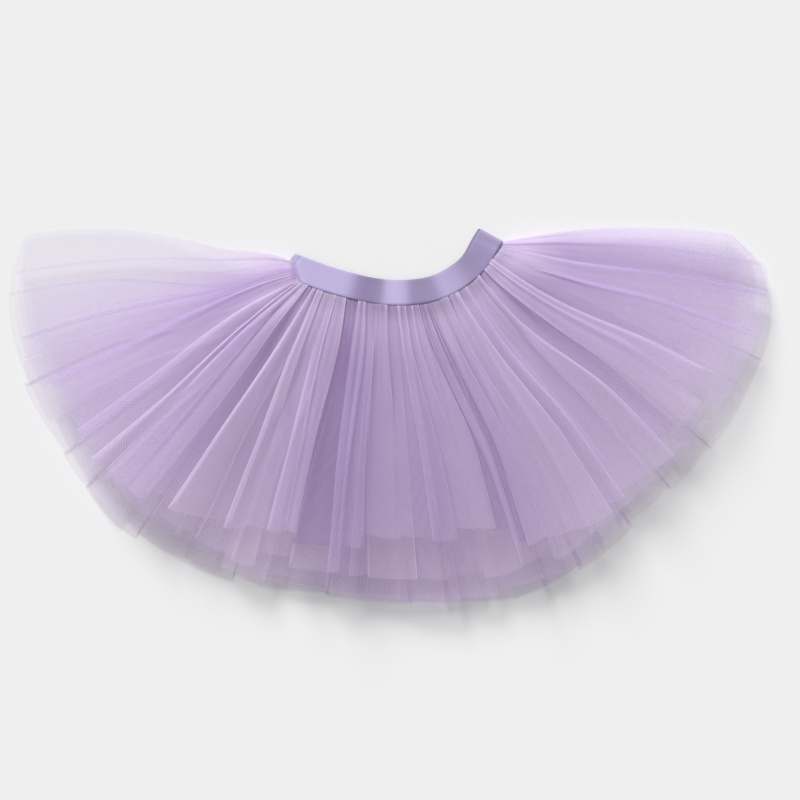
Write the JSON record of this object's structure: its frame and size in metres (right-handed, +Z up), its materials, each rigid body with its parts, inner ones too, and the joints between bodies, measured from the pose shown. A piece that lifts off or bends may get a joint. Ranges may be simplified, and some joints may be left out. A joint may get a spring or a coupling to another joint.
{
  "type": "tulle skirt",
  "caption": "Child's tulle skirt laid flat: a curved elastic waistband with sheer gathered layers fanned out below it and stepped hems.",
  "frame": {"origin": "on the surface that the skirt lies on, under the middle of its outline", "axes": "+Z up from the surface, +X to the right across the skirt, +Y from the hem to the waist"},
  "size_m": [0.7172, 0.3496, 0.0422],
  "materials": {
    "tulle": "sheer matte net",
    "elastic": "satin"
  },
  "bodies": {
    "root": {"waistband": "elastic", "outer_front": "tulle", "outer_back": "tulle", "middle_front": "tulle", "middle_back": "tulle", "inner_front": "tulle", "inner_back": "tulle"}
  },
  "joints": []
}
